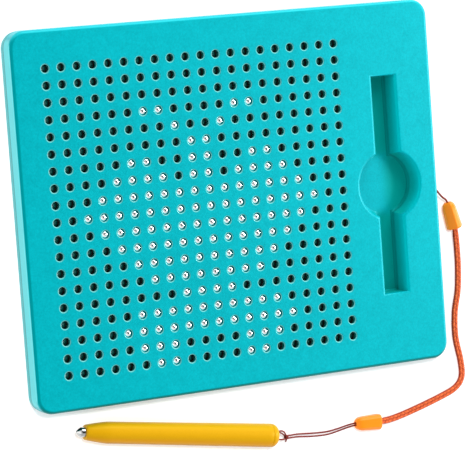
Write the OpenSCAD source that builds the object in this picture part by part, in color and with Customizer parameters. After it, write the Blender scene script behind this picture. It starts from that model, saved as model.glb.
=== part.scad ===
/* [Board] */
// Overall width of the board, left edge to right edge
board_w = 217; // [216:1:224]
// Overall height of the board, bottom edge to top edge
board_h = 175; // [174:1:182]
// Overall thickness of the board
board_t = 12; // [12:0.5:14]
// Radius of the four corners seen from the front
corner_r = 8; // [7:0.5:10]
// Rounding of the edge around the face
face_round = 1.8; // [1:0.1:2]
// Rounding of the edge around the back
back_round = 1.2; // [0.6:0.1:1.4]
// Thickness of the side walls
wall = 2; // [1.6:0.1:2.2]
// Height of the parting line between the two covers
part_z = 3.8; // [3.6:0.1:4]
// How far the back cover stands inside the front cover's outline
part_step = 0.3; // [0.2:0.05:0.5]

/* [Bead field] */
// Distance from one hole to the next, both ways
pitch = 7.8; // [7.7:0.05:7.8]
// Number of holes in a row
cols = 20; // [20]
// Number of rows of holes
rows = 19; // [19]
// Diameter of a steel bead
bead_d = 4.5; // [4.4:0.05:4.6]
// Diameter of the hole in the face over each bead
hole_d = 3.8; // [3.75:0.05:4]
// Diameter of the chamfer's mouth around each hole
hole_mouth_d = 4.7; // [4.4:0.1:5]
// Depth of that chamfer
hole_chamfer = 0.4; // [0.2:0.05:0.5]
// Diameter of the guide cell that a bead slides in
cell_d = 5; // [4.9:0.05:5.1]
// Thickness of the face over the guide cells
lip_t = 1.1; // [1:0.05:1.2]
// Thickness of the elastic sheet that a bead snaps through
sheet_t = 0.5; // [0.4:0.05:0.6]
// Play left between a seated bead and the edge it seats against
seat_play = 0.15; // [0.1:0.01:0.2]
// Offset of the field's centre from the board's centre, sideways
field_x = -17.8; // [-18:0.1:-17.6]
// Offset of the field's centre from the board's centre, upwards
field_y = -0.6; // [-0.8:0.1:-0.2]

/* [Stylus tray] */
// Length of the tray's slot
tray_l = 106.6; // [106.4:0.1:112]
// Width of the slot at the face
tray_w = 15.4; // [15.2:0.1:15.8]
// Diameter of the round finger recess in the middle of the slot
tray_ring_d = 35.6; // [33:0.1:36]
// Depth of the tray below the face
tray_depth = 8.5; // [7:0.1:8.5]
// Sideways position of the tray's centre
tray_x = 82; // [81.8:0.1:82.2]
// Upward position of the tray's centre
tray_y = -0.3; // [-1:0.1:1]
// How far the tray's long walls slope inwards down to the floor
tray_draft = 1.1; // [0.8:0.1:1.2]
// How far the slot's two end walls slope inwards
tray_end_draft = 0.4; // [0.2:0.1:0.6]
// Rounding of the lip along the tray's sides
tray_lip = 1.6; // [1:0.1:1.8]
// Rounding of the lip at the slot's two ends
tray_end_lip = 0.8; // [0.4:0.1:1]

/* [Stylus] */
// Overall length of the stylus, steel tip included
stylus_l = 104; // [100:0.5:104]
// Diameter of the barrel at its tail
stylus_tail_d = 11.2; // [10.6:0.1:11.4]
// Diameter of the barrel where the nose taper begins
stylus_front_d = 10.2; // [9.6:0.1:10.4]
// Diameter of the barrel's flat nose
stylus_nose_d = 7.2; // [6.8:0.1:7.4]
// How far the steel tip stands out of the nose
tip_out = 4.5; // [4:0.1:5]
// Diameter of the steel tip and of the magnet behind it
tip_d = 4.6; // [4.2:0.1:4.8]

/* [Lanyard] */
// Diameter of the braided cord
braid_d = 2.8; // [2.4:0.1:2.8]
// Diameter of the single thread at the board
thread_d = 1; // [0.8:0.1:1]
// Diameter of each of the two threads at the stylus
strand_d = 0.8; // [0.6:0.1:0.8]
// Length of an end sleeve
ferrule_l = 13.4; // [12:0.1:13.4]
// Width of an end sleeve at the braid
ferrule_w = 7.4; // [7:0.1:7.6]
// Height of an end sleeve at the braid
ferrule_h = 6.2; // [6:0.1:6.2]

/* [Hidden] */

$fn = 48;

// The picture that is drawn with the beads: for each row from the top, the
// spans of columns whose beads are raised, first and last column of each span.
picture = [
    [],
    [],
    [],
    [[6, 7], [12, 13]],
    [[8, 8], [11, 11]],
    [[9, 10]],
    [[5, 6], [9, 10], [13, 14]],
    [[4, 7], [9, 10], [12, 15]],
    [[3, 16]],
    [[2, 17]],
    [[3, 16]],
    [[4, 15]],
    [[5, 14]],
    [[6, 13]],
    [[8, 11]],
    [[5, 14]],
    [[4, 15]],
    [[5, 7], [12, 14]],
    [[6, 7], [12, 13]]];

// Heights of the stack inside the covers, from the back up
floor_t = 1.6;
lip_z = board_t - lip_t;
bead_r = bead_d / 2;
hole_r = hole_d / 2;
seat_h = sqrt(pow(bead_r + seat_play, 2) - pow(hole_r, 2));
raised_z = lip_z - seat_h;
sheet_top = raised_z - seat_h;
sheet_bottom = sheet_top - sheet_t;
lowered_z = sheet_bottom - seat_h;
pad_top = lowered_z - bead_r - 0.2;
face_t = 2;

// Outline of the field's inner plates
plate_w = (cols - 1) * pitch + 10;
plate_h = (rows - 1) * pitch + 10;

// Screw positions
screw_x = board_w / 2 - 8;
screw_y = board_h / 2 - 7.5;
screws = [
    [-screw_x, -screw_y], [0, -screw_y], [screw_x, -screw_y],
    [-screw_x, screw_y], [0, screw_y], [screw_x, screw_y]];

// Where the lanyard leaves the right-hand wall
anchor_y = -4;
anchor_z = 7;

// Lie of the stylus on the table beside the board
barrel_end = stylus_l - 3.9;
stylus_pos = [-88.2, -98.1, 5.06];
stylus_yaw = -8.9;
stylus_tilt = atan((stylus_tail_d - stylus_front_d) / 2 / (barrel_end - 15.5));

// Lie of the two end sleeves, thread end first
ferrule_board_pos = [118, -13, 3.85];
ferrule_board_yaw = -76;
ferrule_stylus_pos = [58.8, -115.2, 3.15];
ferrule_stylus_yaw = -2;

// Routes of the free cords, board end first
anchor_route = [
    [106.6, -4, 7], [109, -4.4, 6.9], [111.5, -7, 6.2], [114.4, -9.8, 5.1],
    [117, -11.6, 4.2], [118.2, -13.6, 3.85], [118.6, -15.4, 3.85]];
braid_route = [
    [120.7, -23.7, 3.85], [121.2, -25.8, 3.85], [122, -30, 3], [123, -37, 1.7],
    [123, -46, 1.5], [122, -57, 1.5], [119.5, -68, 1.5], [119, -80, 1.5],
    [121, -92, 1.5], [121, -100, 1.5], [117, -105, 1.5], [108, -108.5, 1.5],
    [92, -113, 1.5], [80, -115.4, 2.2], [72.5, -115.7, 3.15]];
strand_a_route = [
    [60.5, -114.8, 3.15], [58.5, -114.7, 3.1], [55, -115.2, 2.2],
    [50, -116.4, 1], [44, -117.1, 0.6], [36, -116.7, 0.7],
    [28, -115.9, 1.4], [23, -115.7, 2.4], [20, -115.2, 3.6],
    [17.6, -113.6, 5], [15, -112.5, 5.65], [12.8, -112.1, 5.65]];
strand_b_route = [
    [60.5, -115.7, 3.15], [58.5, -115.7, 3.1], [55, -116.3, 2.1],
    [50, -117.6, 0.9], [44, -118.5, 0.6], [36, -118.2, 0.6],
    [28, -117.2, 1.3], [23, -116.9, 2.4], [20, -116.8, 3.6],
    [17.2, -116.6, 5], [14.2, -116, 5.65], [12.2, -115.7, 5.65]];

function unit(v) = v / norm(v);

// Smooth curve through a route, with steps points to each of its stretches
function curve_point(p, i, t) =
    let (
        a = p[max(i - 1, 0)],
        b = p[i],
        c = p[i + 1],
        d = p[min(i + 2, len(p) - 1)])
    0.5 * (2 * b + (c - a) * t + (2 * a - 5 * b + 4 * c - d) * t * t
        + (3 * b - a - 3 * c + d) * t * t * t);
function curve(p, steps) = [
    for (i = [0 : len(p) - 2]) for (s = [0 : steps - 1]) curve_point(p, i, s / steps),
    p[len(p) - 1]];

// Round cord along a path, closed at both ends
module cord(path, d, sides = 8) {
    n = len(path);
    ring_points = [
        for (i = [0 : n - 1])
            let (
                t = unit(path[min(i + 1, n - 1)] - path[max(i - 1, 0)]),
                u = unit(cross(t, [0, 0, 1])),
                w = cross(u, t))
            for (k = [0 : sides - 1])
                path[i] + d / 2 * (cos(360 * (k + 0.5) / sides) * u
                    + sin(360 * (k + 0.5) / sides) * w)];
    sides_faces = [
        for (i = [0 : n - 2]) for (k = [0 : sides - 1])
            [i * sides + k, i * sides + (k + 1) % sides,
             (i + 1) * sides + (k + 1) % sides, (i + 1) * sides + k]];
    first = [for (k = [sides - 1 : -1 : 0]) k];
    last = [for (k = [0 : sides - 1]) (n - 1) * sides + k];
    polyhedron(points = ring_points, faces = concat(sides_faces, [first, last]));
}

// Half section of a slab's edge, measured from its outer face
function edge_points(z0, z1, top_r, bottom_r) = concat(
    [for (k = [0 : 6]) let (a = -90 + 15 * k)
        [-bottom_r + bottom_r * cos(a), z0 + bottom_r + bottom_r * sin(a)]],
    [for (k = [0 : 6]) let (a = 15 * k)
        [-top_r + top_r * cos(a), z1 - top_r + top_r * sin(a)]]);

// Slab with round corners and rounded top and bottom edges
module slab(w, h, r, z0, z1, top_r, bottom_r) {
    e = edge_points(z0, z1, top_r, bottom_r);
    n = len(e);
    rotate([90, 0, 0])
        linear_extrude(h - 2 * r, center = true)
            polygon(concat(
                [for (p = e) [w / 2 + p[0], p[1]]],
                [for (k = [n - 1 : -1 : 0]) [-w / 2 - e[k][0], e[k][1]]]));
    rotate([90, 0, 90])
        linear_extrude(w - 2 * r, center = true)
            polygon(concat(
                [for (p = e) [h / 2 + p[0], p[1]]],
                [for (k = [n - 1 : -1 : 0]) [-h / 2 - e[k][0], e[k][1]]]));
    for (sx = [-1, 1])
        for (sy = [-1, 1])
            translate([sx * (w / 2 - r), sy * (h / 2 - r), 0])
                rotate_extrude()
                    polygon(concat([[0, z0]], [for (p = e) [r + p[0], p[1]]], [[0, z1]]));
}

// Plain block with round corners
module block(w, h, r, z0, z1) {
    translate([-w / 2, -h / 2 + r, z0])
        cube([w, h - 2 * r, z1 - z0]);
    translate([-w / 2 + r, -h / 2, z0])
        cube([w - 2 * r, h, z1 - z0]);
    for (sx = [-1, 1])
        for (sy = [-1, 1])
            translate([sx * (w / 2 - r), sy * (h / 2 - r), z0])
                cylinder(r = r, h = z1 - z0);
}

// Centre of one cell; row 0 is at the top
function cell(c, r) = [
    field_x + (c - (cols - 1) / 2) * pitch,
    field_y + ((rows - 1) / 2 - r) * pitch, 0];

// Section of the tray's edge: rounded lip, sloping wall, rounded foot
function tray_edge(outer, lip, draft, foot) =
    let (
        z0 = board_t - tray_depth,
        z1 = board_t,
        half = outer - lip)
    concat(
        [[half + lip, z1 + 0.2]],
        [for (k = [0 : 6]) let (a = 90 - 15 * k)
            [half + lip - lip * cos(a), z1 - lip + lip * sin(a)]],
        [for (k = [0 : 4]) let (a = 20 * k)
            [half - draft - foot + foot * cos(a), z0 + foot - foot * sin(a)]],
        [[half - draft - foot, z0]]);

module tray_slot(l, w) {
    along = tray_edge(w / 2, tray_lip, tray_draft, 1.6);
    across = tray_edge(l / 2, tray_end_lip, tray_end_draft, 0.8);
    n = len(along);
    intersection() {
        rotate([90, 0, 0])
            linear_extrude(l + 4, center = true)
                polygon(concat(
                    [for (k = [n - 1 : -1 : 0]) along[k]],
                    [for (p = along) [-p[0], p[1]]]));
        rotate([90, 0, 90])
            linear_extrude(w + 4, center = true)
                polygon(concat(
                    [for (k = [n - 1 : -1 : 0]) across[k]],
                    [for (p = across) [-p[0], p[1]]]));
    }
}

module tray_hollow() {
    translate([tray_x, tray_y, 0]) {
        tray_slot(tray_l, tray_w);
        rotate_extrude()
            polygon(concat(
                [[0, board_t + 0.2]],
                tray_edge(tray_ring_d / 2, tray_lip, tray_draft, 1.6),
                [[0, board_t - tray_depth]]));
    }
}

// Outside of the tub that forms the tray under the face
module tray_tub() {
    bottom = board_t - tray_depth - 1.5;
    translate([tray_x - tray_w / 2 - 1.5, tray_y - tray_l / 2 - 1.5, bottom])
        cube([tray_w + 3, tray_l + 3, board_t - 1 - bottom]);
    translate([tray_x, tray_y, bottom])
        cylinder(d = tray_ring_d + 3, h = board_t - 1 - bottom);
}

module front_cover() {
    color([0.03, 0.74, 0.79])
    difference() {
        union() {
            difference() {
                slab(board_w, board_h, corner_r, part_z, board_t, face_round, 0.3);
                block(board_w - 2 * wall, board_h - 2 * wall, corner_r - wall,
                    part_z - 1, board_t - face_t);
                translate([field_x, field_y, 0])
                    block(plate_w + 0.4, plate_h + 0.4, 2.2, part_z, lip_z);
            }
            tray_tub();
            for (s = screws)
                translate([s[0], s[1], part_z])
                    cylinder(d = 6.4, h = board_t - face_t - part_z + 0.5);
        }
        tray_hollow();
        for (s = screws)
            translate([s[0], s[1], part_z - 1])
                cylinder(d = 2.5, h = 7);
        // Passage for the lanyard's thread
        translate([board_w / 2 - wall - 1, anchor_y, anchor_z])
            rotate([0, 90, 0])
                cylinder(d = 1.6, h = wall + 2);
        // One chamfered hole over each bead
        for (r = [0 : rows - 1])
            for (c = [0 : cols - 1])
                translate(cell(c, r))
                    rotate_extrude()
                        polygon([
                            [0, lip_z - 1], [hole_r, lip_z - 1],
                            [hole_r, board_t - hole_chamfer],
                            [hole_mouth_d / 2, board_t],
                            [hole_mouth_d / 2, board_t + 1], [0, board_t + 1]]);
    }
}

module back_cover() {
    w = board_w - 2 * part_step;
    h = board_h - 2 * part_step;
    color([0.03, 0.68, 0.73])
    difference() {
        union() {
            difference() {
                slab(w, h, corner_r - part_step, 0, part_z, 0.3, back_round);
                block(board_w - 2 * wall - 2, board_h - 2 * wall - 2,
                    corner_r - wall - 1, floor_t, part_z + 1);
            }
            // Tongue that locates the front cover
            difference() {
                block(board_w - 2 * wall - 0.3, board_h - 2 * wall - 0.3,
                    corner_r - wall - 0.15, part_z - 0.5, part_z + 1.2);
                block(board_w - 2 * wall - 2, board_h - 2 * wall - 2,
                    corner_r - wall - 1, part_z - 1, part_z + 2);
            }
            for (s = screws)
                translate([s[0], s[1], floor_t - 0.5])
                    cylinder(d = 7, h = part_z - floor_t + 0.5);
        }
        for (s = screws) {
            translate([s[0], s[1], -1])
                cylinder(d = 5.2, h = 2.8);
            translate([s[0], s[1], 0])
                cylinder(d = 2.7, h = part_z + 1);
        }
    }
}

// Plate of the field with a round cell at every place
module cell_plate(z0, z1, d) {
    difference() {
        translate([field_x, field_y, 0])
            block(plate_w, plate_h, 2, z0, z1);
        for (r = [0 : rows - 1])
            for (c = [0 : cols - 1])
                translate(cell(c, r) + [0, 0, z0 - 1])
                    cylinder(d = d, h = z1 - z0 + 2);
    }
}

module upper_cell_grid() {
    color([0.06, 0.1, 0.09])
    cell_plate(sheet_top, lip_z, cell_d);
}

module detent_sheet() {
    color([0.03, 0.04, 0.04])
    cell_plate(sheet_bottom, sheet_top, hole_d);
}

module lower_cell_grid() {
    color([0.06, 0.1, 0.09])
    cell_plate(pad_top, sheet_bottom, cell_d);
}

module bead_pad() {
    color([0.05, 0.06, 0.06])
    translate([field_x, field_y, 0])
        block(plate_w, plate_h, 2, floor_t, pad_top);
}

// Pan-head screw with a cross recess, head downwards
module case_screw() {
    difference() {
        union() {
            translate([0, 0, 0.3])
                cylinder(d1 = 3.4, d2 = 4.6, h = 0.6);
            translate([0, 0, 0.9])
                cylinder(d = 4.6, h = 0.9);
            translate([0, 0, 1.7])
                cylinder(d = 2.4, h = 7);
        }
        for (a = [0, 90])
            rotate([0, 0, a])
                translate([-1.2, -0.25, 0])
                    cube([2.4, 0.5, 1.2]);
    }
}

module case_screws() {
    color([0.62, 0.63, 0.65])
    for (s = screws)
        translate([s[0], s[1], 0])
            case_screw();
}

function is_raised(c, r) =
    len([for (s = picture[r]) if (c >= s[0] && c <= s[1]) 1]) > 0;

// The beads of one row that are up, or those that are down
module bead_row(r, raised) {
    color([0.82, 0.83, 0.85])
    for (c = [0 : cols - 1])
        if (is_raised(c, r) == raised)
            translate(cell(c, r) + [0, 0, raised ? raised_z : lowered_z])
                sphere(d = bead_d);
}

module anchor_knot() {
    color([0.45, 0.08, 0.06])
    translate([board_w / 2 - wall - 1.55, anchor_y, anchor_z])
        sphere(d = 3);
}

module anchor_thread() {
    color([0.45, 0.08, 0.06])
    cord(curve(anchor_route, 1), thread_d);
}

module braid() {
    color([0.9, 0.33, 0.16])
    cord(curve(braid_route, 2), braid_d);
}

module stylus_thread_a() {
    color([0.45, 0.08, 0.06])
    cord(curve(strand_a_route, 1), strand_d);
}

module stylus_thread_b() {
    color([0.45, 0.08, 0.06])
    cord(curve(strand_b_route, 1), strand_d);
}

// One eight-sided cross section of an end sleeve, scaled by k
module ferrule_section(k) {
    w = ferrule_w / 2 * k;
    h = ferrule_h / 2 * k;
    c = 1.5 * k;
    rotate([90, 0, 90])
        linear_extrude(0.02)
            polygon([
                [w, -h + c], [w, h - c], [w - c, h], [-w + c, h],
                [-w, h - c], [-w, -h + c], [-w + c, -h], [w - c, -h]]);
}

// End sleeve that joins thread to braid; bore_d is the thread's bore
module ferrule(bore_d) {
    color([1, 0.55, 0.12])
    difference() {
        hull() {
            ferrule_section(0.46);
            translate([0.7, 0, 0])
                ferrule_section(0.66);
            translate([1.8, 0, 0])
                ferrule_section(0.8);
            translate([3.4, 0, 0])
                ferrule_section(0.88);
            translate([ferrule_l - 0.5, 0, 0])
                ferrule_section(1);
            translate([ferrule_l - 0.02, 0, 0])
                ferrule_section(0.9);
        }
        rotate([0, 90, 0]) {
            translate([0, 0, -1])
                cylinder(d = bore_d, h = ferrule_l);
            translate([0, 0, -0.05])
                cylinder(d1 = bore_d + 1.1, d2 = bore_d, h = 1.2);
            translate([0, 0, ferrule_l - 4])
                cylinder(d = braid_d + 0.3, h = 5);
        }
    }
}

module ferrule_board() {
    translate(ferrule_board_pos)
        rotate([0, 0, ferrule_board_yaw])
            rotate([40, 0, 0])
                ferrule(thread_d + 0.6);
}

module ferrule_stylus() {
    translate(ferrule_stylus_pos)
        rotate([0, 0, ferrule_stylus_yaw])
            ferrule(2 * strand_d + 0.6);
}

// Puts a stylus piece, turned about its own X axis, where it lies
module lay_stylus() {
    translate(stylus_pos)
        rotate([0, 0, stylus_yaw])
            rotate([0, -stylus_tilt, 0])
                children();
}

module turned() {
    rotate([0, 90, 0])
        rotate_extrude($fn = 64)
            children();
}

module stylus_barrel() {
    nose = stylus_nose_d / 2;
    front = stylus_front_d / 2;
    tail = stylus_tail_d / 2;
    color([0.98, 0.78, 0.08])
    lay_stylus()
        turned()
            polygon([
                [tip_d / 2 + 0.05, tip_out], [nose - 0.3, tip_out],
                [nose, tip_out + 0.3], [nose + 0.55, tip_out + 3.5],
                [nose + 1.05, tip_out + 7], [front - 0.12, tip_out + 9.5],
                [front, tip_out + 11], [tail, barrel_end],
                [3.5, barrel_end], [3.5, 30], [tip_d / 2 + 0.05, 26]]);
}

module stylus_tail_cap() {
    tail = stylus_tail_d / 2;
    dome = 3.4;
    color([0.98, 0.78, 0.08])
    lay_stylus()
        difference() {
            turned()
                polygon(concat(
                    [[0, barrel_end - 5], [3.2, barrel_end - 5],
                     [3.45, barrel_end - 4.7], [3.45, barrel_end],
                     [tail, barrel_end]],
                    [for (k = [0 : 6]) let (a = 15 * k)
                        [tail - dome + dome * cos(a), stylus_l - dome + dome * sin(a)]],
                    [[0, stylus_l]]));
            for (side = [-1, 1])
                translate([stylus_l - 4, side * 1.8, 0])
                    rotate([0, 90, 0])
                        cylinder(d = 1.4, h = 5);
        }
}

module stylus_magnet() {
    color([0.7, 0.7, 0.72])
    lay_stylus()
        translate([tip_out + 4.5, 0, 0])
            rotate([0, 90, 0])
                cylinder(d = tip_d, h = 14);
}

module stylus_tip() {
    r = tip_d / 2;
    color([0.85, 0.86, 0.88])
    lay_stylus()
        turned()
            polygon(concat(
                [[0, tip_out + 4.4], [r, tip_out + 4.4]],
                [for (k = [0 : 8]) let (u = pow(0.96 * k / 8, 0.75))
                    [r * (1 - pow(u, 1.4)), (tip_out - 1.9) * (1 - u)]],
                [[0, 0]]));
}

front_cover();
back_cover();
upper_cell_grid();
detent_sheet();
lower_cell_grid();
bead_pad();
case_screws();
bead_row(3, true);  // raised_beads_row_04
bead_row(4, true);  // raised_beads_row_05
bead_row(5, true);  // raised_beads_row_06
bead_row(6, true);  // raised_beads_row_07
bead_row(7, true);  // raised_beads_row_08
bead_row(8, true);  // raised_beads_row_09
bead_row(9, true);  // raised_beads_row_10
bead_row(10, true);  // raised_beads_row_11
bead_row(11, true);  // raised_beads_row_12
bead_row(12, true);  // raised_beads_row_13
bead_row(13, true);  // raised_beads_row_14
bead_row(14, true);  // raised_beads_row_15
bead_row(15, true);  // raised_beads_row_16
bead_row(16, true);  // raised_beads_row_17
bead_row(17, true);  // raised_beads_row_18
bead_row(18, true);  // raised_beads_row_19
bead_row(0, false);  // lowered_beads_row_01
bead_row(1, false);  // lowered_beads_row_02
bead_row(2, false);  // lowered_beads_row_03
bead_row(3, false);  // lowered_beads_row_04
bead_row(4, false);  // lowered_beads_row_05
bead_row(5, false);  // lowered_beads_row_06
bead_row(6, false);  // lowered_beads_row_07
bead_row(7, false);  // lowered_beads_row_08
bead_row(8, false);  // lowered_beads_row_09
bead_row(9, false);  // lowered_beads_row_10
bead_row(10, false);  // lowered_beads_row_11
bead_row(11, false);  // lowered_beads_row_12
bead_row(12, false);  // lowered_beads_row_13
bead_row(13, false);  // lowered_beads_row_14
bead_row(14, false);  // lowered_beads_row_15
bead_row(15, false);  // lowered_beads_row_16
bead_row(16, false);  // lowered_beads_row_17
bead_row(17, false);  // lowered_beads_row_18
bead_row(18, false);  // lowered_beads_row_19
anchor_knot();
anchor_thread();
ferrule_board();
braid();
ferrule_stylus();
stylus_thread_a();
stylus_thread_b();
stylus_barrel();
stylus_tail_cap();
stylus_magnet();
stylus_tip();
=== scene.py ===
import math

import bmesh
import bpy
import numpy as np
from mathutils import Matrix, Vector


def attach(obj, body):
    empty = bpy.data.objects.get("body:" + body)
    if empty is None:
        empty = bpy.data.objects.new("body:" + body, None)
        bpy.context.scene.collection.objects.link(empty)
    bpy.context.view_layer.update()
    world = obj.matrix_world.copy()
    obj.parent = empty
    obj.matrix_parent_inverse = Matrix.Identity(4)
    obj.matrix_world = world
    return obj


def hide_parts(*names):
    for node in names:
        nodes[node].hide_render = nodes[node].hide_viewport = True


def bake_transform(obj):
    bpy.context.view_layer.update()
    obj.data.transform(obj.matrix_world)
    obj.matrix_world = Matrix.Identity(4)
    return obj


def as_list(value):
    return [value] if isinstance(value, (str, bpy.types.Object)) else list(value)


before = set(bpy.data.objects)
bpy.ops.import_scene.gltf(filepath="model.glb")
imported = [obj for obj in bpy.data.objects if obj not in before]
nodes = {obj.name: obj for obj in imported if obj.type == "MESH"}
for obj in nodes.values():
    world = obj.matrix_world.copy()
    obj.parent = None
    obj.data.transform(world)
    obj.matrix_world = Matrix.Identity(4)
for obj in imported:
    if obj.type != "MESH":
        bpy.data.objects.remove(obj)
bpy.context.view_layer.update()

MM = 0.001
scene = bpy.context.scene

# ---------------------------------------------------------------- camera

# Place, turn and lens as solved from the perspective of the holes
camera = bpy.data.cameras.new("camera")
camera.sensor_width = 36
camera.lens = 207.9
camera.clip_start = 0.01
eye = bpy.data.objects.new("camera", camera)
scene.collection.objects.link(eye)
cam_right = Vector((0.89369, -0.07219, 0.44283))
cam_up = Vector((0.10559, 0.99309, -0.05119))
cam_back = cam_right.cross(cam_up).normalized()
eye.matrix_world = (
    Matrix.Translation((-0.55314, 0.10574, 1.14011))
    @ Matrix((cam_right, cam_up, cam_back)).transposed().to_4x4()
)
scene.camera = eye
scene.view_settings.view_transform = "Standard"

# ---------------------------------------------------------------- node helpers


def put(tree, kind, inputs=(), **settings):
    """Adds a node; inputs maps a socket's name or index to a value or to another socket."""
    n = tree.nodes.new(kind)
    for key, value in settings.items():
        setattr(n, key, value)
    for key, value in dict(inputs).items():
        if isinstance(value, bpy.types.NodeSocket):
            tree.links.new(value, n.inputs[key])
        else:
            n.inputs[key].default_value = value
    return n


def math_node(tree, operation, a, b=0.0, c=0.0):
    return put(tree, "ShaderNodeMath", {0: a, 1: b, 2: c}, operation=operation).outputs[0]


def product(tree, value, *factors):
    for factor in factors:
        value = math_node(tree, "MULTIPLY", value, factor)
    return value


def size_of(tree, value):
    return math_node(tree, "ABSOLUTE", value)


def vector_node(tree, operation, a, b=(0.0, 0.0, 0.0)):
    return put(tree, "ShaderNodeVectorMath", {0: a, 1: b}, operation=operation)


def cosine(tree, vector, direction_to):
    """How far a unit vector points towards a direction, as a cosine."""
    goal = tuple(Vector(direction_to).normalized())
    return vector_node(tree, "DOT_PRODUCT", vector, goal).outputs["Value"]


def noise(tree, place, scale, detail=2.0, rough=0.5, seed=0.0):
    """Soft noise from 0 to 1, with a pattern of its own for each seed."""
    return put(
        tree,
        "ShaderNodeTexNoise",
        {"Vector": place, "W": seed, "Scale": scale, "Detail": detail, "Roughness": rough},
        noise_dimensions="4D",
    ).outputs[0]


def ramp(tree, factor, stops):
    """The colour between two stops, each a place on the ramp and its colour."""
    n = put(tree, "ShaderNodeValToRGB", {"Fac": factor})
    for item, (at, color) in zip(n.color_ramp.elements, stops):
        item.position = at
        item.color = (*color, 1.0)
    return n.outputs["Color"]


def shade(color, k):
    return tuple(min(1.0, x * k) for x in color)


def principled(name, **fixed):
    """A new material, its tree and its shader, with the sockets that are the same all over."""
    m = bpy.data.materials.new(name)
    m.use_nodes = True
    b = m.node_tree.nodes["Principled BSDF"]
    for key, value in fixed.items():
        b.inputs[key.replace("_", " ")].default_value = value
    return m, m.node_tree, b


def bumped(tree, b, height, strength, distance):
    """Fine relief on a shader, from a height that other nodes give."""
    settings = {"Strength": strength, "Distance": distance, "Height": height}
    n = put(tree, "ShaderNodeBump", settings)
    tree.links.new(n.outputs["Normal"], b.inputs["Normal"])


def object_place(tree):
    return put(tree, "ShaderNodeTexCoord").outputs["Object"]


def xyz(tree, place):
    return put(tree, "ShaderNodeSeparateXYZ", {0: place}).outputs[:3]


def ease(tree, value, at, over):
    """0 to 1 as a value goes from at to over."""
    return put(
        tree,
        "ShaderNodeMapRange",
        {"Value": value, "From Min": at, "From Max": over, "To Min": 0.0, "To Max": 1.0},
        interpolation_type="SMOOTHSTEP",
    ).outputs["Result"]


def facing(tree, toward, at, over):
    """0 to 1 as the surface turns towards a direction of the board's frame."""
    normal = put(tree, "ShaderNodeNewGeometry").outputs["Normal"]
    return ease(tree, cosine(tree, normal, toward), at, over)


def layered(tree, tone, place, layers):
    """The tone with each layer's colour laid over it where its mask is 1."""
    for mask, color in layers:
        tone = put(
            tree,
            "ShaderNodeMix",
            {0: mask(tree, place), 6: tone, 7: (*color, 1.0)},
            data_type="RGBA",
        ).outputs[2]
    return tone


# ---------------------------------------------------------------- masks

# The field of holes: its pitch, its size, its centre, and the rims, which are all above FACE_Z
PITCH = 7.8 * MM
COLUMNS, ROWS = 20, 19
FIELD_X, FIELD_Y = -17.92 * MM, -0.63 * MM
RIM_OUTER, RIM_INNER, FACE_Z = 2.38 * MM, 2.15 * MM, 11.45 * MM
# Half the board, the band along its edge that is rounded, and where the covers part
HALF_X, HALF_Y, BAND = 108.5 * MM, 87.5 * MM, 3.7 * MM
PARTING_Z, ABOVE_Z = 4.8 * MM, 20 * MM
# The stylus tray: its centreline, its half sizes, and the end of its right-hand wall
TRAY_X, TRAY_HALF_X, TRAY_HALF_Y, TRAY_END_X = 82 * MM, 19.5 * MM, 60 * MM, 101 * MM


def rim_highlight(t, place):
    """1 on the rim of each hole in the face, where a painted highlight lightens the cut edge, and 0
    elsewhere.
    """
    x, y, z = xyz(t, place)

    def to_cell(value, middle, count):
        """How far along its cell a place is, from the cell's centre, and 1 inside the field."""
        cells = math_node(t, "MULTIPLY_ADD", value, 1 / PITCH, -middle / PITCH + count / 2)
        inside = math_node(t, "SUBTRACT", math_node(t, "FRACT", cells), 0.5)
        outside = size_of(t, math_node(t, "SUBTRACT", cells, count / 2))
        return inside, math_node(t, "LESS_THAN", outside, count / 2)

    dx, in_x = to_cell(x, FIELD_X, COLUMNS)
    dy, in_y = to_cell(y, FIELD_Y, ROWS)
    away = math_node(t, "SQRT", math_node(t, "MULTIPLY_ADD", dx, dx, product(t, dy, dy)))
    rim = ease(t, away, RIM_OUTER / PITCH, RIM_INNER / PITCH)
    high = math_node(t, "GREATER_THAN", z, FACE_Z)
    return product(t, rim, in_x, in_y, high)


def outer(t, place, mask, top):
    """The mask on the covers' outer sides and rounded edges, up to a height, and 0 elsewhere."""
    x, y, z = xyz(t, place)
    over_x = math_node(t, "SUBTRACT", size_of(t, x), HALF_X - BAND)
    over_y = math_node(t, "SUBTRACT", size_of(t, y), HALF_Y - BAND)
    edge = math_node(t, "GREATER_THAN", math_node(t, "MAXIMUM", over_x, over_y), 0.0)
    return product(t, edge, math_node(t, "LESS_THAN", z, top), mask)


def side(toward, at, over):
    """A mask for the outer sides that face a direction, to lay painted light and shade on."""
    return lambda t, place: outer(t, place, facing(t, toward, at, over), ABOVE_Z)


def turned_to(toward, at, over):
    """A mask for whatever faces a direction, to lay painted light and shade on."""
    return lambda t, place: facing(t, toward, at, over)


def parting_shade(t, place):
    """Painted shade of the groove where the covers part: the outer sides below that line."""
    return outer(t, place, 1.0, PARTING_Z)


def tray_shade(t, place):
    """Painted shade, darker and greener: the slot and the deep right-hand side of the finger
    recess, but no left-hand wall.
    """
    x, y, z = xyz(t, place)
    deep = ease(t, z, 11.2 * MM, 8.8 * MM)
    right = ease(t, x, 80 * MM, 89 * MM)
    far_y = size_of(t, y)
    far_x = size_of(t, math_node(t, "SUBTRACT", x, TRAY_X))
    far = math_node(t, "MAXIMUM", far_x, product(t, far_y, TRAY_HALF_X / TRAY_HALF_Y))
    near = math_node(t, "LESS_THAN", far, TRAY_HALF_X)
    along = ease(t, far_y, 11 * MM, 17 * MM)
    not_left = facing(t, (1, 0, 0.1), 0.8, 0.4)
    return product(t, deep, near, not_left, math_node(t, "MAXIMUM", right, along))


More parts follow.
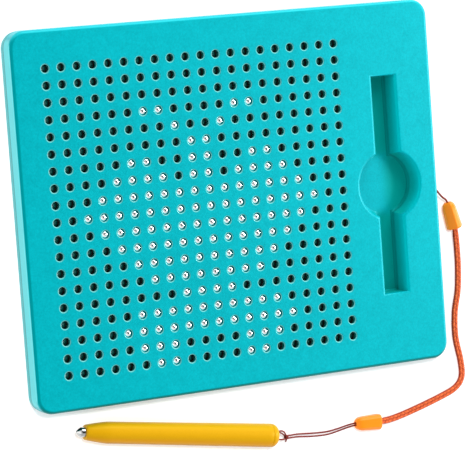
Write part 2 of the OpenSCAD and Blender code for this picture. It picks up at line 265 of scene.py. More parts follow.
def tray_wall_light_and_shade(at, over, steep=(0.4, 0.8)):
    """A mask for the tray's right-hand wall, from one height to another, where its light and shade
    are painted.
    """

    def mask(t, place):
        x, _, z = xyz(t, place)
        height = ease(t, z, at, over)
        wall = ease(t, x, 80 * MM, TRAY_X)
        inside = math_node(t, "LESS_THAN", x, TRAY_END_X)
        return product(t, height, wall, inside, facing(t, (-1, 0, 0.1), *steep))

    return mask


# ---------------------------------------------------------------- materials


def moulded(
    name, color, grain_mm, roughness, bump_mm, contrast=0.05, tint=(1, 1, 1), layers=(), **fixed
):
    """Moulded plastic: a fine spark-eroded grain, faint flow marks and slow differences in tone."""
    m, t, b = principled(name, Specular_Tint=(*tint, 1.0), **fixed)
    place = object_place(t)
    grain = noise(t, place, 1000 / grain_mm, 3.0, 0.6)
    flow = noise(t, place, 160, 3.0, 0.55, 3.0)
    slow = noise(t, place, 11, 2.0, 0.5, 7.0)
    mixed = math_node(t, "MULTIPLY_ADD", flow, 0.22, product(t, slow, 0.18))
    mixed = math_node(t, "MULTIPLY_ADD", grain, 0.6, mixed)
    dark, light = shade(color, 1 - contrast), shade(color, 1 + contrast)
    tone = ramp(t, mixed, [(0.3, dark), (0.7, light)])
    tone = layered(t, tone, place, layers)
    t.links.new(tone, b.inputs["Base Color"])
    low, high = roughness
    wear = math_node(t, "MULTIPLY_ADD", grain, 0.5, product(t, flow, 0.5))
    wear = math_node(t, "MULTIPLY_ADD", wear, high - low, low)
    t.links.new(wear, b.inputs["Roughness"])
    bumped(t, b, grain, 0.5, bump_mm * MM)
    return m


def metal(name, color, roughness, scratch_mm, bump_mm, layers=(), **fixed):
    """Metal with a faint haze and fine wear marks."""
    m, t, b = principled(name, Metallic=1.0, **fixed)
    place = object_place(t)
    haze = noise(t, place, 700, 2.0, 0.5)
    marks = noise(t, place, 1000 / scratch_mm, 4.0, 0.7, 5.0)
    tone = ramp(t, haze, [(0.3, shade(color, 0.93)), (0.7, color)])
    t.links.new(layered(t, tone, place, layers), b.inputs["Base Color"])
    low, high = roughness
    wear = math_node(t, "MULTIPLY_ADD", marks, high - low, low)
    t.links.new(wear, b.inputs["Roughness"])
    bumped(t, b, marks, 0.3, bump_mm * MM)
    return m


def fibre(name, dark, light, sheen):
    """Polyester yarn: fine filaments, laid out by the mesh's own fibre coordinates."""
    m, t, b = principled(
        name, Sheen_Weight=sheen, Sheen_Roughness=0.4, Roughness=0.72, Specular_IOR_Level=0.25
    )
    along = put(t, "ShaderNodeAttribute", attribute_name="fibre").outputs["Vector"]
    # The yarn attribute holds each yarn's own tone together with painted shade in the grooves and
    # under the sides
    yarn = put(t, "ShaderNodeAttribute", attribute_name="yarn").outputs["Fac"]
    filaments = noise(t, along, 5.0, 2.0, 0.6)
    tone = math_node(t, "MULTIPLY_ADD", yarn, 0.45, product(t, filaments, 0.7))
    t.links.new(ramp(t, tone, [(0.25, dark), (0.8, light)]), b.inputs["Base Color"])
    bumped(t, b, filaments, 0.7, 0.05 * MM)
    return m


TEAL = (0.0, 0.325, 0.372)
CYAN_GLOSS = (0.0, 0.8, 0.9)

m_front = moulded(
    "abs_turquoise", TEAL, grain_mm=0.9, roughness=(0.32, 0.46), bump_mm=0.09,
    contrast=0.2, tint=CYAN_GLOSS,
    layers=[
        # Painted reflection: the left-hand wall lighter and paler, as the bright floor would light
        # it
        (side((-1, 0, 0), 0.8, 0.93), (0.07, 0.49, 0.52)),
        # Painted highlight along the left-hand rounding
        (side((-0.93, 0, 0.37), 0.962, 0.99), (0.13, 0.63, 0.67)),
        # Painted shade where the left-hand rounding turns into the face
        (side((-0.5, 0, 0.866), 0.875, 0.95), (0.0, 0.255, 0.28)),
        # Painted light on the rounded top edge
        (side((0, 1, 0.4), 0.5, 0.8), (0.012, 0.42, 0.47)),
        # Painted shade on the rounded bottom edge
        (side((0, -1, 0.6), 0.56, 0.86), (0.0, 0.15, 0.145)),
        # Painted shade of the groove between the covers
        (parting_shade, (0.0, 0.15, 0.155)),
        # Painted shade deep in the tray
        (tray_shade, (0.0, 0.31, 0.278)),
        # Painted shade low on the tray's right-hand wall
        (tray_wall_light_and_shade(3.0 * MM, 5.0 * MM), (0.0, 0.33, 0.32)),
        # Painted light high on that wall
        (tray_wall_light_and_shade(6.5 * MM, 11.5 * MM), (0.0, 0.43, 0.46)),
        # Painted shade at the foot of that wall
        (tray_wall_light_and_shade(5.6 * MM, 4.0 * MM, steep=(0.14, 0.4)), (0.0, 0.19, 0.17)),
        # Painted highlight round the rim of each hole
        (rim_highlight, (0.14, 0.46, 0.44)),
    ],
)
# The front's teal made a little darker, as painted shade on the back cover
m_back = moulded(
    "abs_turquoise_back", shade(TEAL, 0.92), grain_mm=0.5, roughness=(0.36, 0.5),
    bump_mm=0.03, contrast=0.07, tint=CYAN_GLOSS,
    # Painted light on the left-hand side
    layers=[(side((-1, 0, 0), 0.55, 0.8), (0.07, 0.36, 0.375))],
)
m_cells = moulded(
    "styrene_black", (0.02, 0.25, 0.21), grain_mm=0.8, roughness=(0.4, 0.6),
    bump_mm=0.03, contrast=0.2,
)
m_sheet = moulded(
    "silicone_black", (0.012, 0.015, 0.015), grain_mm=1.2, roughness=(0.55, 0.7),
    bump_mm=0.02, contrast=0.2,
)
m_pad = moulded(
    "foam_grey", (0.02, 0.024, 0.024), grain_mm=0.5, roughness=(0.85, 0.95),
    bump_mm=0.15, contrast=0.35,
)
m_stylus = moulded(
    "abs_yellow", (0.57, 0.295, 0.002), grain_mm=0.7, roughness=(0.38, 0.48),
    bump_mm=0.012, contrast=0.04, tint=(1, 0.8, 0.1),
    layers=[
        # Painted light: yellower on the side turned up
        (turned_to((0, 0.9, 0.5), 0.8, 0.97), (0.57, 0.325, 0.0)),
        # Painted shade: more orange on the side turned down
        (turned_to((0, -0.8, 0.6), 0.8, 0.97), (0.62, 0.275, 0.002)),
        # Painted shade: darker brown on the underside
        (turned_to((0.05, -1, 0.1), 0.78, 1.0), (0.40, 0.185, 0.012)),
    ],
    Specular_IOR_Level=0.3,
)
m_sleeve = moulded(
    "plastic_orange", (0.72, 0.19, 0.005), grain_mm=0.6, roughness=(0.28, 0.4),
    bump_mm=0.015, contrast=0.05, tint=(1, 0.6, 0.4),
    # Painted glow: a faint orange emission that lightens the sleeve's shaded facets; the sleeve is
    # no lamp
    Emission_Color=(1.0, 0.23, 0.0, 1.0),
    Emission_Strength=0.24,
)
m_bead = metal(
    "bearing_steel", (0.93, 0.93, 0.94), roughness=(0.05, 0.12), scratch_mm=0.6, bump_mm=0.002,
    # Painted glow: a faint teal emission on every bead, which lightens the beads seen down the
    # holes
    Emission_Color=(0.0, 1.0, 0.85, 1.0),
    Emission_Strength=0.02,
)
m_screw = metal(
    "zinc_steel", (0.56, 0.57, 0.6), roughness=(0.24, 0.42), scratch_mm=0.35, bump_mm=0.01
)
m_magnet = metal(
    "nickel", (0.6, 0.58, 0.54), roughness=(0.18, 0.3), scratch_mm=0.5, bump_mm=0.005
)
m_tip = metal(
    "polished_tip", (0.48, 0.485, 0.48), roughness=(0.08, 0.16), scratch_mm=0.5, bump_mm=0.002,
    layers=[
        # Painted reflection: a near-black mark on the side turned up and to the left
        (turned_to((-0.5, 0.85, 0.1), 0.8, 0.93), (0.012, 0.014, 0.014)),
        # Painted shade on the underside
        (turned_to((-0.2, -1, -0.1), 0.85, 0.96), (0.07, 0.065, 0.05)),
    ],
)
m_thread = fibre("thread_maroon", (0.06, 0.003, 0.002), (0.30, 0.022, 0.01), sheen=0.1)
m_braid = fibre("braid_orange", (0.28, 0.016, 0.003), (0.90, 0.19, 0.045), sheen=0.03)


def wear_material(obj, m):
    obj.data.materials.clear()
    obj.data.materials.append(m)
    for p in obj.data.polygons:
        p.material_index = 0


# ---------------------------------------------------------------- mesh helpers


def faced_out(me, merge=False):
    """Turns a mesh's faces outwards, with points that coincide made one first where asked."""
    bm = bmesh.new()
    bm.from_mesh(me)
    if merge:
        bmesh.ops.remove_doubles(bm, verts=bm.verts, dist=1e-7)
    bmesh.ops.recalc_face_normals(bm, faces=bm.faces)
    bm.to_mesh(me)
    bm.free()


def link_mesh(name, verts, faces, material, smooth=True):
    me = bpy.data.meshes.new(name)
    me.from_pydata(np.asarray(verts, float).tolist(), [], faces)
    faced_out(me)
    for p in me.polygons:
        p.use_smooth = smooth
    me.materials.append(material)
    o = bpy.data.objects.new(name, me)
    scene.collection.objects.link(o)
    return o


def skin(loops, closed=False):
    """Vertices and faces of tubes, each given as an array of rings of points."""
    verts, faces, base = [], [], 0
    for rings in loops:
        n, k, _ = rings.shape
        verts.append(rings.reshape(-1, 3))
        j = np.arange(k)
        after = (j + 1) % k
        for i in range(n if closed else n - 1):
            a = base + i * k
            c = base + ((i + 1) % n) * k
            faces += np.stack([a + j, a + after, c + after, c + j], -1).tolist()
        if not closed:
            faces.append((base + j[::-1]).tolist())
            faces.append((base + (n - 1) * k + j).tolist())
        base += n * k
    return np.concatenate(verts), faces


def set_attribute(obj, name, kind, values):
    a = obj.data.attributes.new(name, kind, "POINT")
    key = "vector" if kind == "FLOAT_VECTOR" else "value"
    a.data.foreach_set(key, np.asarray(values, np.float32).ravel())


def route(points, steps):
    """The smooth curve through a route's points, in metres, as the CAD solids follow it."""
    p = np.asarray(points, float)
    out = []
    for i in range(len(p) - 1):
        a, b, c, d = p[max(i - 1, 0)], p[i], p[i + 1], p[min(i + 2, len(p) - 1)]
        for s in range(steps):
            t = s / steps
            square, cube = 2 * a - 5 * b + 4 * c - d, 3 * b - a - 3 * c + d
            out.append(0.5 * (2 * b + (c - a) * t + square * t * t + cube * t**3))
    out.append(p[-1])
    return np.array(out)


def even(line, step):
    """The line again with points about step apart, and how far along each is."""
    steps = np.linalg.norm(np.diff(line, axis=0), axis=1)
    along = np.concatenate([[0], np.cumsum(steps)])
    at = np.linspace(0, along[-1], max(3, int(round(along[-1] / step)) + 1))
    return np.stack([np.interp(at, along, line[:, k]) for k in range(3)], 1), at


def unit(v):
    return v / np.maximum(np.linalg.norm(v, axis=-1, keepdims=True), 1e-12)


def around(sides):
    """Angles evenly round a circle."""
    return np.arange(sides) / sides * 2 * math.pi


def placed(rings, matrix):
    """Rings in millimetres, put in place by a matrix, in metres."""
    m = np.array(matrix)
    return (rings @ m[:3, :3].T + m[:3, 3]) * MM


def frames(line):
    """Sideways and upwards at each point of a line that mostly lies flat."""
    t = unit(np.gradient(line, axis=0))
    u = unit(np.cross(t, [0.0, 0.0, 1.0]))
    return u, np.cross(u, t)


# ---------------------------------------------------------------- cords

# Routes in millimetres, as the CAD solids have them
ANCHOR = [
    (106.6, -4, 7), (109, -4.4, 6.9), (111.5, -7, 6.2), (114.4, -9.8, 5.1),
    (117, -11.6, 4.2), (118.2, -13.6, 3.85), (118.6, -15.4, 3.85),
]
BRAID = [
    (120.7, -23.7, 3.85), (121.2, -25.8, 3.85), (122, -30, 3), (123, -37, 1.7),
    (123, -46, 1.5), (122, -57, 1.5), (119.5, -68, 1.5), (119, -80, 1.5),
    (121, -92, 1.5), (121, -100, 1.5), (117, -105, 1.5), (108, -108.5, 1.5),
    (92, -113, 1.5), (80, -115.4, 2.2), (72.5, -115.7, 3.15),
]
STRAND_A = [
    (60.5, -114.8, 3.15), (58.5, -114.7, 3.1), (55, -115.2, 2.2), (50, -116.4, 1),
    (44, -117.1, 0.6), (36, -116.7, 0.7), (28, -115.9, 1.4), (23, -115.7, 2.4),
    (20, -115.2, 3.6), (17.6, -113.6, 5), (15, -112.5, 5.65), (12.8, -112.1, 5.65),
]
STRAND_B = [
    (60.5, -115.7, 3.15), (58.5, -115.7, 3.1), (55, -116.3, 2.1), (50, -117.6, 0.9),
    (44, -118.5, 0.6), (36, -118.2, 0.6), (28, -117.2, 1.3), (23, -116.9, 2.4),
    (20, -116.8, 3.6), (17.2, -116.6, 5), (14.2, -116, 5.65), (12.2, -115.7, 5.65),
]
LOOP_END = [
    (12.6, -112.1, 6.15), (15, -112.2, 6.35), (17.2, -112.3, 6.0), (19, -113.3, 5.0),
    (20.3, -115.2, 4.0), (20.9, -117, 3.0), (21, -118.5, 2.0),
]
THREAD_D, STRAND_D, BRAID_D = 1.0 * MM, 0.8 * MM, 2.8 * MM
ROUTE_STEPS = 24  # points of the smooth curve from one point of a route to the next
THREAD_STEP, BRAID_STEP, KNOT_STEP = 0.14 * MM, 0.29 * MM, 0.09 * MM
PLIES = 3
TWIST_LENGTH = 2.5  # one turn of the plies, in thread diameters


def plied(name, line, u, w, diameter, at, sides, groove, yarn, body):
    """A thread of twisted plies, as one skin; groove is how far its radius goes in, by angle."""
    phi = around(sides)
    own = phi[None] - (at / (TWIST_LENGTH * diameter) * 2 * math.pi)[:, None]
    r = diameter / 2 * (1 - groove(own))
    rings = line[:, None] + r[..., None] * (
        np.cos(phi)[None, :, None] * u[:, None] + np.sin(phi)[None, :, None] * w[:, None]
    )
    verts, faces = skin([rings])
    o = link_mesh(name, verts, faces, m_thread)
    along = np.repeat(at[:, None] / MM * 0.12, sides, 1)
    coords = np.stack([np.cos(own), np.sin(own), along], -1)
    set_attribute(o, "fibre", "FLOAT_VECTOR", coords * 1.2)
    set_attribute(o, "yarn", "FLOAT", yarn(own))
    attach(o, body)
    return o


def twisted(name, points_mm, diameter, body):
    """A thread along a route, and its centreline."""
    line, at = even(route(np.array(points_mm) * MM, ROUTE_STEPS), THREAD_STEP)
    u, w = frames(line)
    o = plied(
        name, line, u, w, diameter, at, sides=24,
        groove=lambda own: 0.22 * (1 - np.abs(np.cos(PLIES * own / 2)) ** 0.8),
        # Painted shade: darker in the grooves between the plies and lighter on their crowns
        yarn=lambda own: 0.3 + 0.3 * (np.cos(PLIES * own) + 1) / 2,
        body=body,
    )
    return o, line


def thread(name, points_mm, diameter, body, node):
    """A thread that stands for a CAD node, and its centreline."""
    o, line = twisted(name, points_mm, diameter, body)
    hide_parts(node)
    return o, line


anchor_thread, _ = thread(
    "anchor_thread_twisted", ANCHOR, THREAD_D, "board", "anchor_thread"
)
strand_a, line_a = thread(
    "stylus_thread_a_twisted", STRAND_A, STRAND_D, "stylus", "stylus_thread_a"
)
strand_b, line_b = thread(
    "stylus_thread_b_twisted", STRAND_B, STRAND_D, "stylus", "stylus_thread_b"
)


def braid_section(theta):
    """The flat tube of two lobes that the braid's yarns run on, sideways and upwards."""
    groove = 1 - 0.42 * np.exp(-((np.cos(theta) / 0.3) ** 2))
    return np.stack([1.13 * np.cos(theta), 0.86 * np.sin(theta) * groove], -1) * MM


def make_braid():
    """Eight yarns each way, woven over and under each other round a core."""
    line, at = even(route(np.array(BRAID) * MM, ROUTE_STEPS), BRAID_STEP)
    u, w = frames(line)
    lay, each, sides = 7.0 * MM, 8, 8
    yarn_wide, yarn_thick, yarn_lift = 0.35 * MM, 0.13 * MM, 0.1 * MM
    # Flatter and wider away from the sleeves' round mouths
    flatter = np.clip((at / MM - 2.3) / 4, 0, 1) * np.clip((at[-1] - at) / (3 * MM), 0, 1)
    wide = 1 + 0.26 * flatter
    loops, coords, tones = [], [], []
    ring = around(sides)
    for way in (1, -1):
        for i in range(each):
            theta = way * 2 * math.pi * at / lay + 2 * math.pi * i / each
            flat = braid_section(theta)
            slope = unit(braid_section(theta + 1e-3) - braid_section(theta - 1e-3))
            out = np.stack([slope[:, 1], -slope[:, 0]], -1)
            sigma = 2 * each * theta / (2 * math.pi)
            lift = way * np.clip(1.25 * np.cos(math.pi / 2 * (sigma - 0.5)), -1, 1)
            flat = flat + out * (lift * yarn_lift)[:, None]
            flat[:, 0] *= wide
            centre = line + flat[:, :1] * u + flat[:, 1:] * w
            normal = unit(out[:, :1] * u + out[:, 1:] * w)
            along = unit(np.gradient(centre, axis=0))
            across = unit(np.cross(along, normal))
            rings = (
                centre[:, None, :]
                + yarn_wide * np.cos(ring)[None, :, None] * across[:, None, :]
                + yarn_thick * np.sin(ring)[None, :, None] * normal[:, None, :]
            )
            loops.append(rings)
            own_place = 13.0 * i + 131 * (way > 0)
            fibre_at = [
                np.repeat(np.cos(ring)[None] * 1.6, len(at), 0),
                np.repeat(np.sin(ring)[None] * 1.6, len(at), 0),
                np.repeat(at[:, None] / MM * 0.2, sides, 1) + own_place,
            ]
            coords.append(np.stack(fibre_at, -1).reshape(-1, 3))
            # Painted shade: darker where the yarns turn under the sides and in the groove between
            # the lobes
            c = np.abs(np.cos(theta))
            under, middle = np.clip((c - 0.72) / 0.24, 0, 1) ** 2, np.exp(-((c / 0.16) ** 2))
            painted_shade = 0.9 * under + 0.6 * middle
            own = 0.15 + 0.7 * ((i * 5 + (way > 0) * 3) % each) / each
            tones.append(np.repeat(own * (1 - painted_shade) - 0.75 * painted_shade, sides))
    # The core that the yarns lie on
    flat = braid_section(around(20)) * 0.84
    rings = (
        line[::2, None, :]
        + flat[None, :, :1] * wide[::2, None, None] * u[::2, None, :]
        + flat[None, :, 1:] * w[::2, None, :]
    )
    loops.append(rings)
    coords.append(np.zeros((rings.shape[0] * rings.shape[1], 3)))
    tones.append(np.zeros(rings.shape[0] * rings.shape[1]))
    verts, faces = skin(loops)
    o = link_mesh("braid_woven", verts, faces, m_braid)
    set_attribute(o, "fibre", "FLOAT_VECTOR", np.concatenate(coords))
    set_attribute(o, "yarn", "FLOAT", np.concatenate(tones))
    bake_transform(o)
    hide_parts("braid")
    return o, line


braid, braid_line = make_braid()


def knot(name, centre, direction, size_mm, tube_mm, turns, tail, body):
    """A small knot: a cord wound round its own strands, with its cut end standing out."""
    d = unit(np.array(direction, float))
    side = unit(np.cross(d, [0, 0, 1.0]))
    up = np.cross(side, d)
    n = int(turns * 28)
    s = np.linspace(0, 1, n)
    angle = 2 * math.pi * turns * s
    radius = (size_mm - tube_mm) / 2 * MM * (0.85 + 0.15 * np.sin(math.pi * s))
    length = tube_mm * 0.95 * turns * MM
    points = (
        np.array(centre) * MM
        + d * ((s - 0.5) * length)[:, None]
        + side * (radius * np.cos(angle))[:, None]
        + up * (radius * np.sin(angle))[:, None]
    )
    end = points[-1] + np.array(tail) * MM
    mid = points[-1] + (points[-1] - points[-3]) * 2.2
    extra = route(np.array([points[-2], points[-1], (mid + end) / 2, end]), 8)[9:]
    points = np.concatenate([points, extra])
    line, at = even(points, KNOT_STEP)
    # Frames that turn as little as possible, because the line winds all ways
    t = unit(np.gradient(line, axis=0))
    u = np.zeros_like(line)
    u[0] = unit(np.cross(t[0], [0.3, 0.2, 1.0]))
    for i in range(1, len(line)):
        u[i] = unit(u[i - 1] - t[i] * (u[i - 1] @ t[i]))
    w = np.cross(u, t)
    return plied(
        name, line, u, w, tube_mm * MM, at, sides=12,
        groove=lambda own: 0.25 * (1 - np.abs(np.cos(PLIES * own / 2))),
        yarn=lambda own: np.full(own.shape, 0.4),
        body=body,
    )


anchor_knot = knot(
    "anchor_knot_wound", (104.95, -4, 7), (1, 0, 0), size_mm=2.9, tube_mm=0.95, turns=2.5,
    tail=(-0.4, -0.7, 0.4), body="board",
)
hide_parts("anchor_knot")
loop_knot = knot(
    "loop_knot", (20.6, -116.1, 3.3), (1.0, -0.05, -0.4), size_mm=2.3, tube_mm=0.62, turns=2.3,
    tail=(0.1, -1.0, -0.5), body="stylus",
)
loop_end, _ = twisted("loop_end_twisted", LOOP_END, STRAND_D, "stylus")

# ---------------------------------------------------------------- end sleeves


def sleeve_ring(k):
    """An eight-sided section with softened corners, scaled by k; sideways and upwards, in mm."""
    w, h, c = 3.7 * k, 3.1 * k, 1.5 * k  # half its width and height, and its bevel
    corner_points = 4
    corners = [
        (w, -h + c), (w, h - c), (w - c, h), (-w + c, h),
        (-w, h - c), (-w, -h + c), (-w + c, -h), (w - c, -h),
    ]
    soft = 0.2 * min(1.0, k * 1.1)
    out = []
    for i, p in enumerate(corners):
        p = np.array(p)
        a = unit(np.array(corners[i - 1]) - p)
        b = unit(np.array(corners[(i + 1) % 8]) - p)
        for s in np.linspace(0, 1, corner_points):
            q0, q1 = p + a * soft, p + b * soft
            out.append((1 - s) ** 2 * q0 + 2 * s * (1 - s) * p + s * s * q1)
    return np.array(out)


def end_sleeve(name, node, origin, yaw, roll, bore_d, thread_mouth):
    """A tapering eight-sided sleeve, hollow, with its round mouth for the braid at the wide end."""
    length = 13.4
    stations = [
        (0.0, 0.43), (0.12, 0.47), (0.4, 0.57), (0.7, 0.645), (1.2, 0.73), (1.8, 0.79),
        (2.6, 0.845), (3.4, 0.876), (5.0, 0.897), (8.0, 0.935), (11.5, 0.98), (12.7, 0.995),
        (13.0, 0.985), (13.2, 0.955), (13.36, 0.91), (13.4, 0.87),
    ]
    outside = [(x, sleeve_ring(k)) for x, k in stations]
    # The bore's rings have their points at the same angles as a section halfway along
    section = outside[8][1]
    angle = np.arctan2(section[:, 1], section[:, 0])

    def round_ring(radius):
        return np.stack([np.cos(angle), np.sin(angle)], -1) * radius

    inside = [
        (length, round_ring(1.85)), (length - 0.12, round_ring(1.66)),
        (length - 0.4, round_ring(1.55)), (length - 4, round_ring(1.55)),
        (length - 4.2, round_ring(bore_d / 2)), (0.9, round_ring(bore_d / 2)),
        (0.25, round_ring(bore_d / 2 + 0.12)), (0.0, round_ring(thread_mouth / 2)),
    ]
    sections = outside + inside
    rings = np.zeros((len(sections), len(section), 3))
    for i, (x, ring) in enumerate(sections):
        rings[i, :, 0] = x
        rings[i, :, 1:] = ring
    place = (
        Matrix.Translation(Vector(origin))
        @ Matrix.Rotation(math.radians(yaw), 4, "Z")
        @ Matrix.Rotation(math.radians(roll), 4, "X")
    )
    verts, faces = skin([placed(rings, place)], closed=True)
    o = link_mesh(name, verts, faces, m_sleeve)
    o.data.set_sharp_from_angle(angle=math.radians(38))
    o.modifiers.new("weighted", "WEIGHTED_NORMAL").keep_sharp = True
    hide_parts(node)
    return o


sleeve_a = end_sleeve(
    "end_sleeve_board", "ferrule_board", (118, -13, 3.85), yaw=-76, roll=40,
    bore_d=1.6, thread_mouth=2.2,
)
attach(sleeve_a, "board")
sleeve_b = end_sleeve(
    "end_sleeve_stylus", "ferrule_stylus", (58.8, -115.2, 3.15), yaw=-2, roll=0,
    bore_d=2.2, thread_mouth=2.5,
)
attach(sleeve_b, "stylus")


def length_of(line):
    """The length of a line of points."""
    return float(np.linalg.norm(np.diff(line, axis=0), axis=1).sum())


length_of(braid_line)
for strand, line, piece, out in (
    (strand_a, line_a, [loop_knot, loop_end], (0.0587, -0.1147, 0.0031)),
    (strand_b, line_b, [], (0.0587, -0.1157, 0.0031)),
):
    length_of(line)
    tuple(out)
    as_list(piece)

# ---------------------------------------------------------------- stylus

# Along the stylus from its tip, and its radii, in millimetres
STYLUS_L, BARREL_START, NOSE_END, BARREL_END = 104.0, 4.5, 15.5, 100.1
TAIL_R, FRONT_R, NOSE_R, TIP_R = 5.6, 5.1, 3.6, 2.3
BORE_R, CAP_ROUND, SEAM = 3.5, 3.4, 0.12
HOLE_Y, HOLE_D = 1.8, 1.4
TILT = math.atan((TAIL_R - FRONT_R) / (BARREL_END - NOSE_END))
lay_stylus = (
    Matrix.Translation(Vector((-88.2, -98.1, 5.06)))
    @ Matrix.Rotation(math.radians(-8.9), 4, "Z")
    @ Matrix.Rotation(-TILT, 4, "Y")
)


def lathe(name, profile_mm, material, sides, closed=False, offset_y=0.0):
    """A mesh turned about an axis along the stylus; the profile is (along, radius) in mm."""
    p = np.array(profile_mm, float)
    phi = around(sides)
    rings = np.zeros((len(p), sides, 3))
    rings[..., 0] = p[:, :1]
    rings[..., 1] = offset_y + p[:, 1:] * np.cos(phi)
    rings[..., 2] = p[:, 1:] * np.sin(phi)
    verts, faces = skin([placed(rings, lay_stylus)], closed=closed)
    o = link_mesh(name, verts, faces, material)
    faced_out(o.data, merge=True)
    return o


def turned(name, profile_mm, material, node, closed=False):
    """A turned piece of the stylus that stands for a CAD node."""
    o = lathe(name, profile_mm, material, 96, closed)
    o.data.set_sharp_from_angle(angle=math.radians(35))
    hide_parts(node)
    return o


def spline_profile(points, steps):
    """A smooth run through (along, radius) points."""
    p = np.array([(x, r, 0) for x, r in points], float)
    return [tuple(q[:2]) for q in route(p, steps)]


def corner(cx, cr, radius, start, end, steps=6):
    """Points on a round edge, about the centre (along, radius), between two angles in degrees."""
    angles = [math.radians(a) for a in np.linspace(start, end, steps)]
    return [(cx + radius * math.sin(a), cr + radius * math.cos(a)) for a in angles]


nose = [
    (4.8, NOSE_R - 0.03), (6.4, NOSE_R + 0.26), (8.0, NOSE_R + 0.53), (9.8, NOSE_R + 0.8),
    (11.5, NOSE_R + 1.04), (13.2, NOSE_R + 1.27), (14.4, FRONT_R - 0.11), (15.6, FRONT_R - 0.015),
    (17.5, FRONT_R + 0.01),
]
barrel_profile = (
    [(BARREL_START, TIP_R + 0.06), (BARREL_START, NOSE_R - 0.4)]
    + corner(4.82, NOSE_R - 0.37, 0.32, -80, -10, 5)
    + spline_profile(nose, 4)
    + [
        (x, FRONT_R + (TAIL_R - FRONT_R) * (x - NOSE_END) / (BARREL_END - NOSE_END))
        for x in np.linspace(20, 99.9, 33)
    ]
    + [
        (100.02, TAIL_R - 0.04), (BARREL_END, TAIL_R - SEAM), (BARREL_END, BORE_R),
        (99.0, BORE_R), (30, BORE_R), (26, TIP_R + 0.06),
    ]
)
barrel = turned(
    "stylus_barrel_turned", barrel_profile, m_stylus, "stylus_barrel", closed=True
)
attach(barrel, "stylus")

cap_profile = (
    [
        (95.1, 0.0), (95.1, BORE_R - 0.3), (95.4, BORE_R - 0.05),
        (BARREL_END, BORE_R - 0.05), (BARREL_END, TAIL_R - SEAM),
        (100.18, TAIL_R - 0.04), (100.3, TAIL_R - 0.005),
    ]
    + corner(STYLUS_L - CAP_ROUND, TAIL_R - CAP_ROUND, CAP_ROUND, 0, 90, 20)
    + [(STYLUS_L, 1.2), (STYLUS_L, 0.0)]
)
cap = turned("stylus_tail_cap_turned", cap_profile, m_stylus, "stylus_tail_cap")


def drill(obj, start, end, offset_y, diameter):
    """Cuts a round hole along the stylus's axis, with a small countersink."""
    r, mouth = diameter / 2, diameter / 2 + 0.28
    profile = [
        (start, 0.0), (start, r), (end - 0.35, r), (end, mouth), (end + 1, mouth), (end + 1, 0.0)
    ]
    cutter = lathe("cutter", profile, m_stylus, 32, offset_y=offset_y)
    cut = obj.modifiers.new("hole", "BOOLEAN")
    cut.object = cutter
    cut.operation = "DIFFERENCE"
    cut.solver = "EXACT"
    evaluated = obj.evaluated_get(bpy.context.evaluated_depsgraph_get())
    done = bpy.data.meshes.new_from_object(evaluated)
    obj.modifiers.clear()
    obj.data = done
    bpy.data.objects.remove(cutter)


for offset_y in (-HOLE_Y, HOLE_Y):
    drill(cap, 100.0, STYLUS_L, offset_y, HOLE_D)
cap.data.set_sharp_from_angle(angle=math.radians(30))
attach(cap, "stylus")

tip_profile = (
    [(8.9, 0.0), (8.9, TIP_R - 0.1), (8.8, TIP_R), (3.0, TIP_R)]
    + [
        (2.6 * (1 - u), TIP_R * (1 - u**1.4))
        for u in (0.96 * np.linspace(0.02, 1, 20)) ** 0.75
    ]
    + [(0.02, 0.07), (0.0, 0.0)]
)
tip = turned("stylus_tip_turned", tip_profile, m_tip, "stylus_tip")
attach(tip, "stylus")

# ---------------------------------------------------------------- CAD nodes


def smooth_by_angle(angle_deg):
    """A node group that welds a mesh and shades it smooth over edges that bend less."""
    g = bpy.data.node_groups.new("smooth_by_angle", "GeometryNodeTree")
    for way in ("INPUT", "OUTPUT"):
        g.interface.new_socket("Geometry", in_out=way, socket_type="NodeSocketGeometry")
    start = put(g, "NodeGroupInput")
    merge = put(g, "GeometryNodeMergeByDistance", {0: start.outputs[0], "Distance": 2e-6})
    faces = put(g, "GeometryNodeSetShadeSmooth", {0: merge.outputs[0]})
    bend = put(g, "GeometryNodeInputMeshEdgeAngle")
    flat = math_node(g, "LESS_THAN", bend.outputs[0], math.radians(angle_deg))
    edges = put(
        g, "GeometryNodeSetShadeSmooth", {0: faces.outputs[0], "Shade Smooth": flat},
        domain="EDGE",
    )
    put(g, "NodeGroupOutput", {0: edges.outputs[0]})
    return g


def soften(obj, group):
    """Smooth shading over the rounded edges, with the large faces kept flat."""
    me = obj.data
    if "custom_normal" in me.attributes:
        me.attributes.remove(me.attributes["custom_normal"])
    obj.modifiers.new("soften", "NODES").node_group = group
    obj.modifiers.new("weighted", "WEIGHTED_NORMAL").keep_sharp = True


MATERIAL_OF = {
    "front_cover": m_front,
    "back_cover": m_back,
    "upper_cell_grid": m_cells,
    "detent_sheet": m_sheet,
    "lower_cell_grid": m_cells,
    "bead_pad": m_pad,
    "case_screws": m_screw,
    "stylus_magnet": m_magnet,
}
for name, obj in sorted(nodes.items()):
    if obj.hide_render:
        continue
    wear_material(obj, m_bead if "_beads_row_" in name else MATERIAL_OF[name])
rounded = smooth_by_angle(40)
for name in ("front_cover", "back_cover"):
    soften(nodes[name], rounded)

# ---------------------------------------------------------------- floor, lights

FLOOR = 3.0  # half its size, in metres
m_paper, tree, shader = principled(
    "paper_white", Roughness=0.6, Emission_Color=(1, 1, 1, 1), Emission_Strength=0.21
)
speck = noise(tree, object_place(tree), 900, 3.0)
paper = ramp(tree, speck, [(0.3, (0.9, 0.9, 0.9)), (0.7, (0.94, 0.94, 0.94))])
tree.links.new(paper, shader.inputs["Base Color"])
corners = [(-FLOOR, -FLOOR, 0), (FLOOR, -FLOOR, 0), (FLOOR, FLOOR, 0), (-FLOOR, FLOOR, 0)]
floor = link_mesh("floor", corners, [(0, 1, 2, 3)], m_paper, smooth=False)
floor.location.z = -0.05 * MM

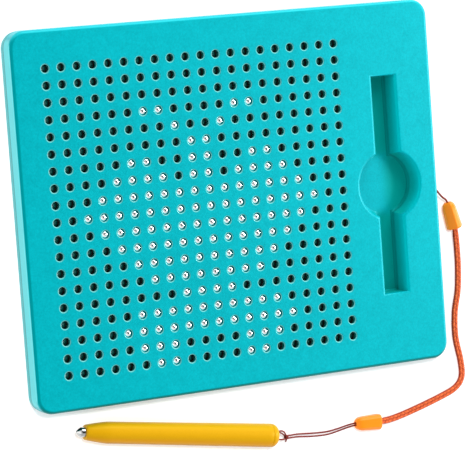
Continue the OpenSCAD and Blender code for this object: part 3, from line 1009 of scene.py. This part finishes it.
world = bpy.data.worlds.new("studio")
scene.world = world
world.use_nodes = True
sky = world.node_tree
direction = put(sky, "ShaderNodeTexCoord").outputs["Generated"]
# The dark gap between the overhead panels
gap_line = size_of(sky, cosine(sky, direction, (-0.349, 0.840, -0.416)))
gap_end = cosine(sky, direction, (-0.224, 0.356, 0.907))
gap = product(sky, ease(sky, gap_line, 0.16, 0.09), ease(sky, gap_end, 0.82, 0.88))
# The dark patch of ceiling beside it
off = vector_node(sky, "SUBTRACT", direction, (0.23, 0.0, 0.9)).outputs[0]
off = vector_node(sky, "MULTIPLY", off, (1 / 0.36, 1 / 0.4, 0.3)).outputs[0]
patch = ease(sky, vector_node(sky, "LENGTH", off).outputs["Value"], 1.15, 0.7)
# A brighter wall of light low on the left
wall_left = ease(sky, cosine(sky, direction, (-0.93, 0.0, 0.36)), 0.75, 0.97)
light = product(
    sky,
    math_node(sky, "MULTIPLY_ADD", gap, -0.95, 1.0),
    math_node(sky, "MULTIPLY_ADD", patch, -0.94, 1.0),
    math_node(sky, "MULTIPLY_ADD", wall_left, 1.0, 0.9),
)
background = sky.nodes["Background"]
sky.links.new(light, background.inputs["Strength"])
background.inputs["Color"].default_value = (1, 1, 1, 1)

LIGHT_AWAY = 1.2  # from the board's middle, in metres


def area_light(name, direction_to, size, power, on_floor):
    """A round soft box that lights the floor only, or all but the floor."""
    light = bpy.data.lights.new(name, "AREA")
    light.shape = "DISK"
    light.size = size
    light.energy = power
    o = bpy.data.objects.new(name, light)
    scene.collection.objects.link(o)
    d = Vector(direction_to).normalized()
    o.location = d * LIGHT_AWAY
    o.rotation_euler = d.to_track_quat("Z", "Y").to_euler()
    group = bpy.data.collections.new(f"{name}_receivers")
    group.objects.link(floor)
    if not on_floor:
        group.collection_objects[0].light_linking.link_state = "EXCLUDE"
    o.light_linking.receiver_collection = group


area_light("key", (0.857, 0.0, 0.515), size=0.34, power=13.0, on_floor=False)
area_light("top", (0.38, 0.80, 0.46), size=0.7, power=10.0, on_floor=False)
area_light("overhead", (-0.24, 0.24, 0.94), size=0.2, power=8.6, on_floor=True)
